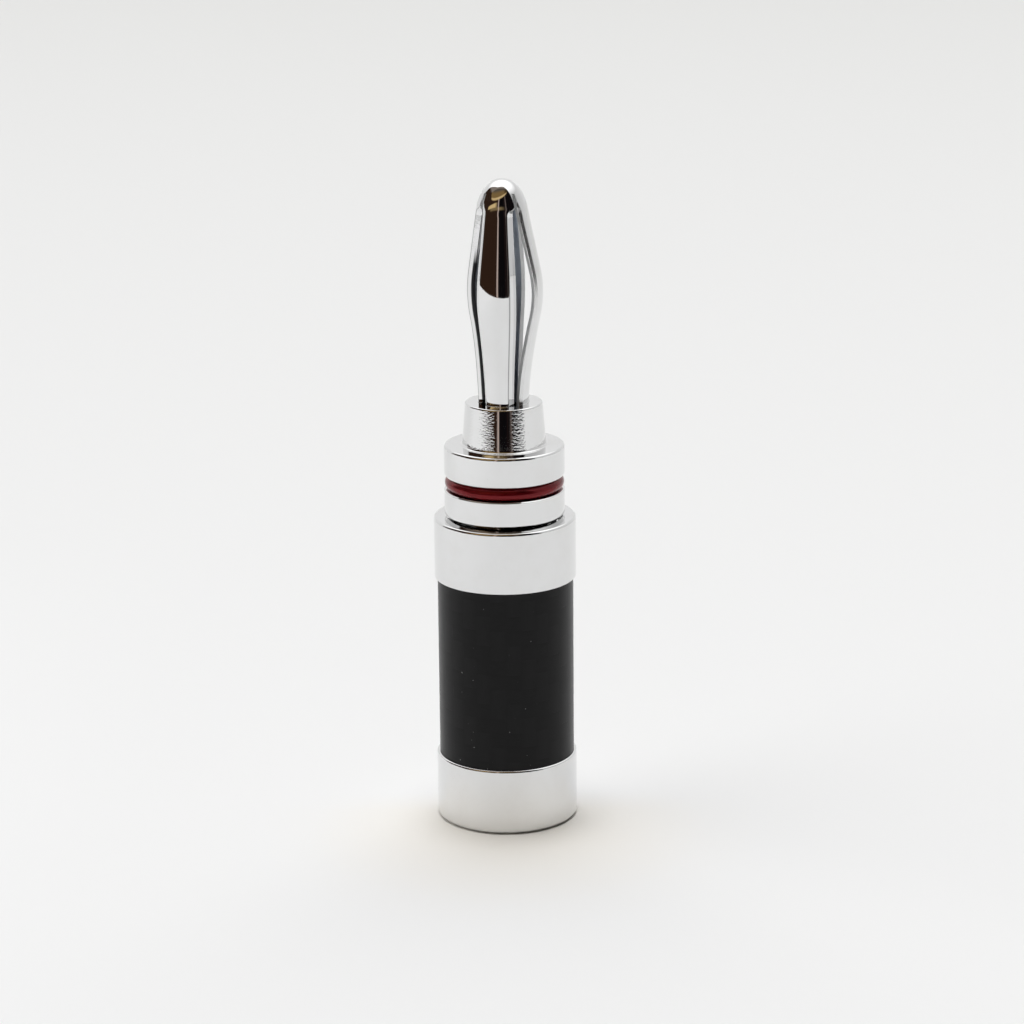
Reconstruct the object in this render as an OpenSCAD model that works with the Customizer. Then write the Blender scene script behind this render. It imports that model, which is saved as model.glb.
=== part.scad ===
// Banana plug: a sprung pin of four bowed leaves on a turned nose, which screws into a sleeved barrel.
// Millimetres. The plug stands on its cable end, and Z runs up its axis to the tip of the pin.
// Diameters build outwards from the thread, and lengths stack upwards from the end ring.

/* [Thread between nose and barrel] */
// Nominal diameter of the thread
thread_d = 9; // [8:0.5:12]
// Pitch of the thread
thread_pitch = 0.75; // [0.5:0.25:1]
// Length of the thread on the nose
thread_len = 6; // [4:0.5:8]
// Radial clearance of the nose's thread in the barrel
thread_clear = 0.05; // [0.02:0.01:0.1]

/* [Barrel core] */
// Length of the polished head
head_len = 4.83; // [3.5:0.01:8]
// Bevel round the top of the head
head_bevel = 0.2; // [0.05:0.05:0.5]
// Widening of the barrel's bore below its thread, on the radius
bore_relief = 0.15; // [0.1:0.05:0.6]
// Wall of the tube that carries the sleeve
liner_wall = 0.5; // [0.3:0.05:1.5]
// Thread in the barrel beyond the end of the nose's thread
thread_runout = 0.4; // [0.2:0.1:1]
// Bevel at the mouth of the barrel's thread
mouth_bevel = 0.3; // [0.1:0.05:0.4]

/* [Carbon sleeve] */
// Length of the sleeve
sleeve_len = 14.3; // [12:0.1:24]
// Wall of the sleeve
sleeve_wall = 0.505; // [0.3:0.005:1.5]
// Glue line round the tube, on the radius
glue_gap = 0.03; // [0.02:0.01:0.1]

/* [End ring] */
// Length of the end ring
ring_len = 5.25; // [4:0.05:8]
// Floor of the ring round the cable hole
ring_floor = 1.6; // [1:0.1:2.5]
// Diameter of the cable hole
cable_hole_d = 7; // [4.5:0.1:7.8]
// Bevel of the cable hole
cable_bevel = 0.3; // [0.1:0.05:0.6]
// Bevel of the ring's outer edges
ring_bevel = 0.15; // [0.05:0.05:0.3]
// Height by which head and end ring stand proud of the sleeve
proud = 0.225; // [0.05:0.025:0.8]

/* [Nose] */
// Lip of the skirt outside the thread
skirt_lip = 0.15; // [0.1:0.05:0.6]
// Length of the skirt below the coloured ring
skirt_len = 2.17; // [1.5:0.01:5]
// Bevel round the foot of the skirt
skirt_bevel = 0.2; // [0.05:0.05:0.5]
// Height of the skirt above the barrel's head when screwed home
seat_gap = 0.02; // [0.01:0.01:0.1]
// Length of the groove for the coloured ring
groove_len = 1.03; // [0.8:0.01:2]
// Depth of the groove
groove_depth = 1; // [0.8:0.05:1.2]
// Bevel of the groove's edges
groove_bevel = 0.08; // [0.02:0.02:0.2]
// Length of the disc above the coloured ring
disc_len = 2.45; // [1.5:0.05:5]
// Bevel round the top of the disc
disc_bevel = 0.15; // [0.05:0.05:0.4]
// Length of the collar round the pin
collar_len = 3.35; // [2.5:0.05:6]
// Wall of the collar at its top
collar_wall = 1.025; // [0.6:0.025:1.3]
// Taper of the collar, on each side
collar_taper = 4.3; // [0:0.1:8]
// Bevel round the top of the collar
collar_bevel = 0.15; // [0.05:0.05:0.3]
// Radius of the fillet at the foot of the collar
collar_fillet = 0.2; // [0.1:0.05:0.4]

/* [Coloured ring] */
// Clearance round the ring in its groove
ring_clear = 0.04; // [0.02:0.01:0.1]
// Depth of the ring's rim below the disc
ring_sink = 0.07; // [0:0.01:0.3]

/* [Wire tail] */
// Step from the thread down to the tail, on the radius
tail_step = 0.1; // [0.05:0.05:0.4]
// Length of the tail
tail_len = 9.5; // [8:0.5:12]
// Diameter of the hole for the wire
wire_bore_d = 4; // [2.5:0.1:4.4]
// Depth of the hole for the wire
wire_bore_len = 9; // [7:0.5:12]
// Bevel of the tail's end and of its hole
tail_bevel = 0.3; // [0.1:0.05:0.5]

/* [Clamp screws] */
// Diameter of a clamp screw
screw_d = 2.9; // [2:0.1:3.2]
// Clearance of a screw in its hole, on the radius
screw_clear = 0.05; // [0.02:0.01:0.1]
// Distance from the tail's end to the lower screw
screw_inset = 2.4; // [2:0.1:3]
// Distance between the two screws
screw_spacing = 3.8; // [3.6:0.1:5]
// Distance that a backed-out screw stays outside the wire hole
screw_back_off = 0.04; // [0.02:0.01:0.2]
// Width across the flats of the hexagon socket
socket_flats = 1.5; // [0.9:0.1:1.8]
// Depth of the hexagon socket
socket_depth = 0.8; // [0.4:0.1:1]
// Bevel of a screw's ends
screw_bevel = 0.2; // [0.1:0.05:0.3]

/* [Spring pin] */
// Diameter of the pin at its foot
pin_d = 3.9; // [3.6:0.05:4.4]
// Thickness of a leaf
leaf_t = 0.5; // [0.3:0.05:0.9]
// Width of the saw cuts at the foot and the tip of the leaves
slot_w = 0.35; // [0.2:0.05:0.6]
// Width of the gaps between the leaves at their crown
slot_crown_w = 1.5; // [0.8:0.05:1.8]
// Radius of the flare at the foot of the leaves
flare_r = 0.35; // [0.15:0.05:0.6]
// Length over which the leaves rise
rise_len = 6.45; // [5:0.05:8]
// Length of the rounded crown of the leaves
crown_len = 3.55; // [2:0.05:5]
// Outward lean of a leaf at its foot
foot_angle = 2.6; // [1:0.1:4]
// Steepest outward lean of a leaf
rise_angle = 10.9; // [8:0.1:12]
// Inward lean of a leaf above the crown
fall_angle = 9.8; // [8:0.1:12]
// Length of the domed tip above the leaves
tip_len = 2.2; // [1.6:0.05:3.2]
// Solid metal above the saw cuts
tip_cap = 0.95; // [0.6:0.05:1.2]
// Length of shank held in the nose
shank_len = 5; // [3:0.5:6]
// Clearance of the shank in the nose, on the radius
shank_clear = 0.02; // [0.01:0.01:0.05]
// Run of the saw cuts below the face of the collar
slot_run = 0.4; // [0.2:0.1:1]
// Width of the bevels along the edges of the leaves
leaf_bevel_w = 0.5; // [0.2:0.05:0.6]
// Depth of these bevels
leaf_bevel_t = 0.12; // [0.04:0.02:0.16]
// Turn of the leaves about the axis
pin_turn = 10; // [0:1:90]

/* [Hidden] */
$fn = 96;

// Depth of a metric thread's root for each millimetre of pitch, on the diameter
THREAD_DEPTH = 1.2269;
// Half of a drill's point angle
DRILL_HALF_ANGLE = 59;
// Spare length of a cutting solid past the face that it cuts
CUT = 1;
// Steps along the bow of a leaf, along the sides of a gap, round the flare and over the tip
BOW_STEPS = 16;
GAP_STEPS = 11;
FLARE_STEPS = 6;
TIP_STEPS = 12;
// Reach of the tip curve's handles, as shares of the tip's length and radius
TIP_SIDE_HANDLE = 0.45;
TIP_TOP_HANDLE = 0.6;
// Leaves of the pin, an even number because each saw cut makes two gaps
LEAVES = 4;
// Direction that the screws and the first leaf face
FRONT = -90;

// Radii, from the thread outwards
thread_root_r = (thread_d - THREAD_DEPTH * thread_pitch) / 2;
thread_bore_r = thread_root_r + thread_clear;
liner_bore_r = thread_bore_r + bore_relief;
liner_r = liner_bore_r + liner_wall;
sleeve_bore_r = liner_r + glue_gap;
sleeve_r = sleeve_bore_r + sleeve_wall;
head_r = sleeve_r + proud;
skirt_r = thread_d / 2 + skirt_lip;
groove_r = skirt_r - groove_depth;
tail_r = thread_root_r - tail_step;
wire_bore_r = wire_bore_d / 2;
pin_r = pin_d / 2;
pin_bore_r = pin_r - leaf_t;
shank_bore_r = pin_r + shank_clear;
collar_top_r = pin_r + collar_wall;
collar_foot_r = collar_top_r + collar_len * tan(collar_taper);

// Heights, from the end ring upwards
head_z = ring_len + sleeve_len;
head_top_z = head_z + head_len;
skirt_z = head_top_z + seat_gap;
groove_z = skirt_z + skirt_len;
disc_z = groove_z + groove_len;
collar_z = disc_z + disc_len;
pin_z = collar_z + collar_len;
thread_z = skirt_z - thread_len;
tail_z = thread_z - tail_len;

// Place of the screws
screw_hole_r = screw_d / 2 + screw_clear;
screw_in = wire_bore_r + screw_back_off;
screw_out = sqrt(pow(tail_r, 2) - pow(screw_hole_r, 2));
screw_len = screw_out - screw_in;
screw_lower_z = tail_z + screw_inset;
screw_upper_z = screw_lower_z + screw_spacing;

// Bow of a leaf: how far it stands outside the foot of the pin, at height h above the flare.
// Its lean grows from foot_angle to rise_angle, turns over through the crown, then stays at fall_angle.
function rising(h) = h * tan(foot_angle) + (tan(rise_angle) - tan(foot_angle)) * h * h / (2 * rise_len);
function crowning(h) = rising(rise_len) + h * tan(rise_angle)
                       - (tan(rise_angle) + tan(fall_angle)) * h * h / (2 * crown_len);
fall_len = crowning(crown_len) / tan(fall_angle);
leaf_len = rise_len + crown_len + fall_len;
function bow(h) = h < rise_len ? rising(h)
                : h < rise_len + crown_len ? crowning(h - rise_len)
                : (leaf_len - h) * tan(fall_angle);
crown_h = rise_len + crown_len * tan(rise_angle) / (tan(rise_angle) + tan(fall_angle));

// Lean of the bevels along the edges of the leaves
bevel_lean = atan2(leaf_bevel_t, leaf_bevel_w);

// Half width of the gap between two leaves, which opens with their bow
function gap(h) = (slot_w + (slot_crown_w - slot_w) * bow(h) / bow(crown_h)) / 2;

// Outline of the pin, as [radius, height above the face of the collar]
function bezier(a, b, c, d, t) = a * pow(1 - t, 3) + 3 * b * t * pow(1 - t, 2) + 3 * c * t * t * (1 - t)
                                 + d * pow(t, 3);
tip_side = TIP_SIDE_HANDLE * tip_len;
tip_base = flare_r + leaf_len;
flare_curve = [for (i = [0:FLARE_STEPS - 1])
               let (a = 90 * i / FLARE_STEPS) [pin_r + flare_r * (1 - sin(a)), flare_r * (1 - cos(a))]];
bow_curve = [for (i = [0:BOW_STEPS - 1])
             let (h = leaf_len * i / BOW_STEPS) [pin_r + bow(h), flare_r + h]];
tip_curve = [for (i = [0:TIP_STEPS])
             bezier([pin_r, tip_base], [pin_r - tip_side * tan(fall_angle), tip_base + tip_side],
                    [TIP_TOP_HANDLE * pin_r, tip_base + tip_len], [0, tip_base + tip_len], i / TIP_STEPS)];
hollow_curve = [for (i = [BOW_STEPS:-1:0])
                let (h = leaf_len * i / BOW_STEPS) [pin_bore_r + bow(h), flare_r + h]];

function drill_point(r) = r / tan(DRILL_HALF_ANGLE);

// Solid of revolution about the plug's axis, from an outline of [radius, height] points
module turned(outline) {
    rotate_extrude() polygon(outline);
}

// Ring with a floor round the cable hole and a socket for the barrel's tube
module end_ring() {
    color("gainsboro") turned([
        [cable_hole_d / 2 + cable_bevel, 0],
        [head_r - ring_bevel, 0],
        [head_r, ring_bevel],
        [head_r, ring_len - ring_bevel],
        [head_r - ring_bevel, ring_len],
        [sleeve_bore_r, ring_len],
        [sleeve_bore_r, ring_floor],
        [cable_hole_d / 2, ring_floor],
        [cable_hole_d / 2, cable_bevel]
    ]);
}

module carbon_sleeve() {
    color("dimgray") turned([
        [sleeve_bore_r, ring_len],
        [sleeve_r, ring_len],
        [sleeve_r, head_z],
        [sleeve_bore_r, head_z]
    ]);
}

// Head and tube in one piece, bored through and threaded inside the head
module barrel_core() {
    thread_end_z = thread_z - thread_runout;
    color("gainsboro") turned([
        [liner_bore_r, ring_floor],
        [liner_r, ring_floor],
        [liner_r, head_z],
        [head_r, head_z],
        [head_r, head_top_z - head_bevel],
        [head_r - head_bevel, head_top_z],
        [thread_bore_r + mouth_bevel, head_top_z],
        [thread_bore_r, head_top_z - mouth_bevel],
        [thread_bore_r, thread_end_z],
        [liner_bore_r, thread_end_z]
    ]);
}

// Collar, disc, groove, skirt, thread and wire tail, turned from one bar
module nose_body() {
    color("gainsboro") difference() {
        union() {
            turned([
                [0, tail_z],
                [tail_r - tail_bevel, tail_z],
                [tail_r, tail_z + tail_bevel],
                [tail_r, thread_z],
                [thread_root_r, thread_z],
                [thread_root_r, skirt_z],
                [skirt_r - skirt_bevel, skirt_z],
                [skirt_r, skirt_z + skirt_bevel],
                [skirt_r, groove_z - groove_bevel],
                [skirt_r - groove_bevel, groove_z],
                [groove_r, groove_z],
                [groove_r, disc_z],
                [skirt_r - groove_bevel, disc_z],
                [skirt_r, disc_z + groove_bevel],
                [skirt_r, collar_z - disc_bevel],
                [skirt_r - disc_bevel, collar_z],
                [collar_foot_r, collar_z],
                [collar_top_r + collar_bevel * tan(collar_taper), pin_z - collar_bevel],
                [collar_top_r - collar_bevel, pin_z],
                [0, pin_z]
            ]);
            collar_foot();
        }
        translate([0, 0, pin_z - shank_len]) cylinder(r = shank_bore_r, h = shank_len + CUT);
        wire_hole();
        for (z = [screw_lower_z, screw_upper_z]) screw_hole(z);
    }
}

// Hollow fillet between the tapered collar and the disc
module collar_foot() {
    fillet_r = collar_foot_r + collar_fillet * (1 / cos(collar_taper) - tan(collar_taper));
    rotate_extrude() difference() {
        translate([pin_r, collar_z - collar_fillet])
            square([fillet_r - pin_r, collar_fillet * (2 - sin(collar_taper))]);
        translate([fillet_r, collar_z + collar_fillet]) circle(r = collar_fillet);
    }
}

// Drilled hole for the wire, with its drill point and a bevelled mouth
module wire_hole() {
    translate([0, 0, tail_z - CUT]) cylinder(r = wire_bore_r, h = wire_bore_len + CUT);
    translate([0, 0, tail_z + wire_bore_len])
        cylinder(r1 = wire_bore_r, r2 = 0, h = drill_point(wire_bore_r));
    translate([0, 0, tail_z]) cylinder(r1 = wire_bore_r + tail_bevel, r2 = wire_bore_r, h = tail_bevel);
}

// Hole through one side of the tail
module screw_hole(z) {
    translate([0, 0, z]) rotate([0, 0, FRONT]) rotate([0, 90, 0])
        cylinder(r = screw_hole_r, h = tail_r + CUT);
}

// Loose ring with a half-round rim
module polarity_ring() {
    ring_h = groove_len - 2 * ring_clear;
    rim_r = skirt_r - ring_sink - ring_h / 2;
    inner_r = groove_r + ring_clear;
    color("firebrick") translate([0, 0, groove_z + ring_clear]) rotate_extrude() union() {
        translate([inner_r, 0]) square([rim_r - inner_r, ring_h]);
        intersection() {
            translate([rim_r, ring_h / 2]) circle(d = ring_h);
            translate([rim_r, 0]) square(ring_h);
        }
    }
}

// Closed tube that swells round its middle, sawn into four leaves
module spring_pin() {
    leaf_step = 360 / LEAVES;
    first_gap = FRONT - pin_turn + leaf_step / 2;
    color("gainsboro") translate([0, 0, pin_z]) rotate([0, 0, first_gap]) difference() {
        turned(concat([[pin_bore_r, -shank_len], [pin_r, -shank_len], [pin_r, 0]],
                      flare_curve, bow_curve, tip_curve,
                      [[0, tip_base + drill_point(pin_bore_r)]], hollow_curve));
        for (i = [0:LEAVES / 2 - 1]) rotate([0, 0, i * leaf_step]) saw_cut();
        for (i = [0:LEAVES - 1], side = [0, 1])
            rotate([0, 0, i * leaf_step]) mirror([side, 0, 0]) leaf_bevel();
    }
}

// Cut right across the pin between two pairs of leaves, from inside the collar to the solid of the tip
module saw_cut() {
    reach = 2 * skirt_r;
    side = [for (i = [0:GAP_STEPS]) let (h = leaf_len * i / GAP_STEPS) [gap(h), flare_r + h]];
    edge = concat([[slot_w / 2, -slot_run]], side, [[slot_w / 2, tip_base + tip_len - tip_cap]]);
    mirrored = [for (i = [len(edge) - 1:-1:0]) [-edge[i].x, edge[i].y]];
    rotate([90, 0, 0]) translate([0, 0, -reach / 2]) linear_extrude(reach) polygon(concat(edge, mirrored));
}

// Cut that takes the corner off one edge of a leaf, outwards from the middle of the gap beside it.
// It runs straight up at the top, so it fades out where the leaf leans in to the tip.
module leaf_bevel() {
    side = [for (i = [0:GAP_STEPS - 1])
            let (h = leaf_len * i / GAP_STEPS, r = pin_r + bow(h), x = gap(h) + leaf_bevel_w)
            [sqrt(r * r - x * x) * cos(bevel_lean) - x * sin(bevel_lean), flare_r + h]];
    top = tip_base + tip_len;
    edge = concat([[side[0].x, -slot_run]], side, [[side[GAP_STEPS - 1].x, top]]);
    rotate([0, 0, 90 + bevel_lean]) rotate([90, 0, 0]) translate([0, 0, pin_r * sin(bevel_lean)])
        linear_extrude(skirt_r) polygon(concat(edge, [[skirt_r, top], [skirt_r, -slot_run]]));
}

// Headless screw with a hexagon socket, backed out flush with the tail
module clamp_screw(z) {
    color("dimgray") translate([0, 0, z]) rotate([0, 0, FRONT]) rotate([0, 90, 0])
        translate([0, 0, screw_in]) difference() {
            turned([
                [0, 0],
                [screw_d / 2 - screw_bevel, 0],
                [screw_d / 2, screw_bevel],
                [screw_d / 2, screw_len - screw_bevel],
                [screw_d / 2 - screw_bevel, screw_len],
                [0, screw_len]
            ]);
            translate([0, 0, screw_len - socket_depth])
                cylinder(d = socket_flats / cos(30), h = socket_depth + CUT, $fn = 6);
        }
}

module clamp_screw_upper() {
    clamp_screw(screw_upper_z);
}

module clamp_screw_lower() {
    clamp_screw(screw_lower_z);
}

end_ring();
carbon_sleeve();
barrel_core();
nose_body();
polarity_ring();
spring_pin();
clamp_screw_upper();
clamp_screw_lower();
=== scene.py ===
import math

import bpy
from bpy.props import FloatProperty, FloatVectorProperty, IntProperty, PointerProperty
from bpy.types import Operator, Panel, PropertyGroup
from mathutils import Matrix, Vector


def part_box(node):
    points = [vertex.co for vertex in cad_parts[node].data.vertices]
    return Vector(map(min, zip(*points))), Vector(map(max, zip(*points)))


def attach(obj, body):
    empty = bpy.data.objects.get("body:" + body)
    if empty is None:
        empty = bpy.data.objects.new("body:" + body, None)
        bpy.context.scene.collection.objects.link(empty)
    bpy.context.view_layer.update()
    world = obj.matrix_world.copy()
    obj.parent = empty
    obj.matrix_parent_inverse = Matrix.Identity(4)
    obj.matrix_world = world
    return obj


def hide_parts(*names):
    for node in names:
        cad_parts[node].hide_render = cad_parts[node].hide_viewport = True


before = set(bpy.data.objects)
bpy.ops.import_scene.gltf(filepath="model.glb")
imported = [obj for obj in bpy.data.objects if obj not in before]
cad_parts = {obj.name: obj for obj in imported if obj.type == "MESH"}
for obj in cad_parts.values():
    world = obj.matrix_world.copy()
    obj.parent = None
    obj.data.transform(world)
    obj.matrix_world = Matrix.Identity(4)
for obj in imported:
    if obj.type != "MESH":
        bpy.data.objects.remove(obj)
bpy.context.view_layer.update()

bl_info = {
    "name": "Banana plug",
    "version": (1, 0, 0),
    "blender": (4, 5, 0),
    "location": "3D View > Sidebar > Plug",
    "description": "Builds the looks of a banana plug round its CAD frame",
    "category": "Object",
}

MM = 0.001
DRILL_POINT = math.radians(59)  # Half angle of a drill's point
SUNK = 0.02 * MM  # Depth at which the joins of ridges and leaves are hidden in what they stand on
WELD = 0.0001 * MM  # Distance within which points are joined into one
TURN_STEPS = 96  # Steps in one turn of the main threads
ARC_STEP = math.radians(12)  # Greatest turn between two points of a rounded corner


def length(name, description, millimetres):
    """A length, with its default in millimetres."""
    return FloatProperty(name=name, description=description, default=millimetres * MM, min=0, precision=6,
                         unit="LENGTH")


def angle(name, description, degrees):
    """An angle, with its default in degrees."""
    return FloatProperty(name=name, description=description, default=math.radians(degrees), subtype="ANGLE")


def share(name, description, value):
    """A number from 0 to 1."""
    return FloatProperty(name=name, description=description, default=value, min=0, max=1, subtype="FACTOR")


def level(name, description, value):
    """A number from 0 up."""
    return FloatProperty(name=name, description=description, default=value, min=0)


def colour(name, description, *rgb):
    """A colour, in linear light."""
    return FloatVectorProperty(name=name, description=description, default=rgb, size=3, min=0, max=1,
                               subtype="COLOR")


def count(name, description, value):
    """A whole number."""
    return IntProperty(name=name, description=description, default=value, min=1)


class BarrelSizes(PropertyGroup):
    """Sizes of the end ring, the sleeve and the barrel's core."""

    socket_radius: length("Socket radius", "Radius of the end ring's socket and of the sleeve's bore", 4.77)
    ring_floor: length("Ring floor", "Thickness of the end ring round the cable hole", 1.6)
    cable_hole: length("Cable hole", "Radius of the hole for the cable", 3.5)
    cable_bevel: length("Cable hole bevel", "Bevel round the mouth of the cable hole", 0.3)
    ring_round: length("Ring rounding", "Rounding of the end ring's upper edge", 0.18)
    ring_foot: length("Ring foot", "Rounding of the end ring's lower edge", 0.4)
    tube_radius: length("Tube radius", "Outer radius of the tube under the sleeve", 4.74)
    tube_bore: length("Tube bore", "Bore of the tube under the sleeve", 4.24)
    thread_bore: length("Thread bore", "Radius at the root of the barrel's thread", 4.48)
    thread_depth: length("Thread length", "Length of the barrel's thread", 6.38)
    head_round: length("Head rounding", "Rounding round the top of the head", 0.22)
    sharpness: length("Edge rounding", "Rounding of every other turned edge", 0.03)
    tows: count("Tows", "Carbon tows round the sleeve", 28)
    tow_width: length("Tow width", "Width of the tows that run round the sleeve", 1.18)


class NoseSizes(PropertyGroup):
    """Sizes of the nose and its wire tail."""

    seat_gap: length("Seat gap", "Gap between the skirt and the head when screwed home", 0.02)
    skirt_bevel: length("Skirt bevel", "Bevel round the foot of the skirt", 0.28)
    ring_gap: length("Ring gap", "Gap above and below the coloured ring", 0.04)
    groove_radius: length("Groove radius", "Radius at the bottom of the ring's groove", 3.65)
    groove_bevel: length("Groove bevel", "Bevel of the skirt's upper edge, below the groove", 0.08)
    disc_foot: length("Disc foot", "Rounding of the disc's lower edge", 0.3)
    disc_length: length("Disc length", "Length of the disc above the coloured ring", 2.45)
    disc_round: length("Disc rounding", "Rounding round the top of the disc", 0.22)
    collar_foot: length("Collar foot", "Radius of the collar at the disc", 3.227)
    collar_top: length("Collar top", "Radius of the collar at the pin", 2.975)
    collar_round: length("Collar rounding", "Rounding round the top of the collar", 0.15)
    collar_fillet: length("Collar fillet", "Hollow fillet between collar and disc", 0.2)
    pin_hole: length("Pin hole", "Radius of the hole that holds the pin", 1.97)
    pin_hole_depth: length("Pin hole depth", "Depth of the hole that holds the pin", 5)
    thread_root: length("Thread root", "Radius at the root of the nose's thread", 4.04)
    thread_length: length("Thread length", "Length of the nose's thread", 6)
    tail_radius: length("Tail radius", "Radius of the wire tail", 3.94)
    tail_bevel: length("Tail bevel", "Bevel of the tail's end", 0.3)
    wire_hole: length("Wire hole", "Radius of the hole for the wire", 2)
    wire_hole_depth: length("Wire hole depth", "Depth of the hole for the wire", 9)
    screw_hole: length("Screw hole", "Radius of the holes for the clamp screws", 1.5)
    ring_inner: length("Ring bore", "Inner radius of the coloured ring", 3.69)
    ring_edge: length("Ring edge", "Rounding of the coloured ring's inner edges", 0.04)
    ring_swell: length("Ring swell", "Swelling of the pressed ring beyond its nominal size", 0.02)


class PinSizes(PropertyGroup):
    """Sizes of the spring pin and its leaves."""

    leaves: count("Leaves", "Number of leaves", 4)
    turn: angle("Turn", "Turn of the first leaf away from the front", 10)
    foot_radius: length("Foot radius", "Radius of the pin at its foot", 1.95)
    thickness: length("Leaf thickness", "Thickness of a leaf", 0.5)
    slot: length("Slot", "Width of the saw cuts at the foot of the leaves and of the tip", 0.35)
    slot_end: share("Slot end", "Share of that width at the upper end of the saw cuts", 0.55)
    crown_gap: length("Crown gap", "Width of the gaps between the leaves at their crown", 1.5)
    slot_run: length("Slot run", "Run of the saw cuts below the face of the collar", 0.4)
    flare: length("Straight foot", "Straight length of the leaves above the collar", 0.35)
    fillet: length("Fillet", "Hollow fillet at the foot of the leaves", 0.03)
    rise: length("Rise", "Length over which the leaves rise", 6.45)
    crown: length("Crown", "Length of the rounded crown of the leaves", 3.55)
    foot_lean: angle("Foot lean", "Outward lean of a leaf at its foot", 2.6)
    rise_lean: angle("Rise lean", "Steepest outward lean of a leaf", 10.9)
    fall_lean: angle("Fall lean", "Inward lean of a leaf above its crown", 9.8)
    tip: length("Tip", "Length of the domed tip", 2.2)
    tip_side: share("Tip side", "Share of the tip's length over which its side stays steep", 0.45)
    tip_dome: share("Tip dome", "Share of the foot's radius over which the dome stays flat", 0.6)
    cap: length("Cap", "Solid metal above the saw cuts", 0.95)
    bevel_left: length("Left bevel", "Width of the bevel along the left edge of a leaf", 0.3)
    bevel_run: share("Bevel run", "Share of the tip's saw cuts over which the left bevel narrows", 0.625)
    bevel_end: share("Bevel end", "Least share of the left bevel's width that is kept there", 0.12)
    bevel_right: length("Right bevel", "Width of the bevel along the right edge of a leaf", 0.62)
    bevel_stop: share("Bevel stop", "Share of a leaf's length at which its right bevel runs out", 0.995)
    bevel_lean: angle("Bevel lean", "Lean of the bevels", 12)
    edge: length("Edge", "Rounding of the leaves' edges", 0.025)
    sway: length("Sway", "Distance by which the crowns of the side leaves stand to the right", 0.19)
    twist: angle("Twist", "Turn of the crowns of the side leaves", 4)
    spread: share("Spread", "Share by which the front leaf is wider at its crown", 0.23)


class ThreadSizes(PropertyGroup):
    """Sizes of the threads."""

    pitch: length("Pitch", "Pitch of the thread between nose and barrel", 0.75)
    height: length("Height", "Height of its ridge", 0.36)
    base: length("Base", "Width of its ridge at the root", 0.56)
    crest: length("Crest", "Width of its ridge at the crest", 0.1)
    screw_pitch: length("Screw pitch", "Pitch of a clamp screw's thread", 0.4)
    screw_height: length("Screw height", "Height of its ridge", 0.16)
    screw_base: length("Screw base", "Width of its ridge at the root", 0.28)
    screw_crest: length("Screw crest", "Width of its ridge at the crest", 0.06)
    socket: length("Socket", "Width across the flats of a clamp screw's socket", 1.5)
    socket_depth: length("Socket depth", "Depth of a clamp screw's socket", 0.8)
    screw_bevel: length("Screw bevel", "Bevel of a clamp screw's ends", 0.2)


class PlugColours(PropertyGroup):
    """Colours of the finishes."""

    plating: colour("Plating", "Polished plating", 0.755, 0.757, 0.757)
    plating_dull: colour("Dulled plating", "Plating where it is handled", 0.71, 0.705, 0.695)
    # Inside and Pale inside are one unpolished plating: Inside is painted shade for the left and right
    # leaves, Pale inside is painted light for the front and back leaves.
    inside: colour("Inside", "Unpolished plating inside the pin", 0.045, 0.05, 0.06)
    inside_pale: colour("Pale inside", "Unpolished plating where light falls on it", 0.55, 0.61, 0.69)
    # This colour serves both the real specks in the plating and the painted shade line where a leaf's face
    # meets its right bevel.
    speck_and_edge_shade: colour("Specks", "Specks in the plating, and the line along a right bevel", 0.12, 0.12, 0.12)
    # Painted shade: near black colour for the gap to the left of the front leaf.
    painted_gap_shade: colour("Soot", "Dirt in the gap to the left of the front leaf", 0.008, 0.008, 0.009)
    weave_dark: colour("Weave shade", "Carbon tows that run across the light", 0.0022, 0.0022, 0.0025)
    weave_light: colour("Weave light", "Carbon tows that catch the light", 0.0075, 0.0075, 0.008)
    red: colour("Ring", "Coloured ring", 0.21, 0.0035, 0.008)
    red_deep: colour("Ring shade", "Deeper patches of the coloured ring", 0.12, 0.002, 0.004)
    dust: colour("Dust", "Dust on the sleeve", 0.2, 0.2, 0.2)
    steel: colour("Screw steel", "Clamp screws", 0.20, 0.20, 0.21)
    steel_stain: colour("Stained steel", "Stains on the clamp screws", 0.11, 0.11, 0.115)


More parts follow.
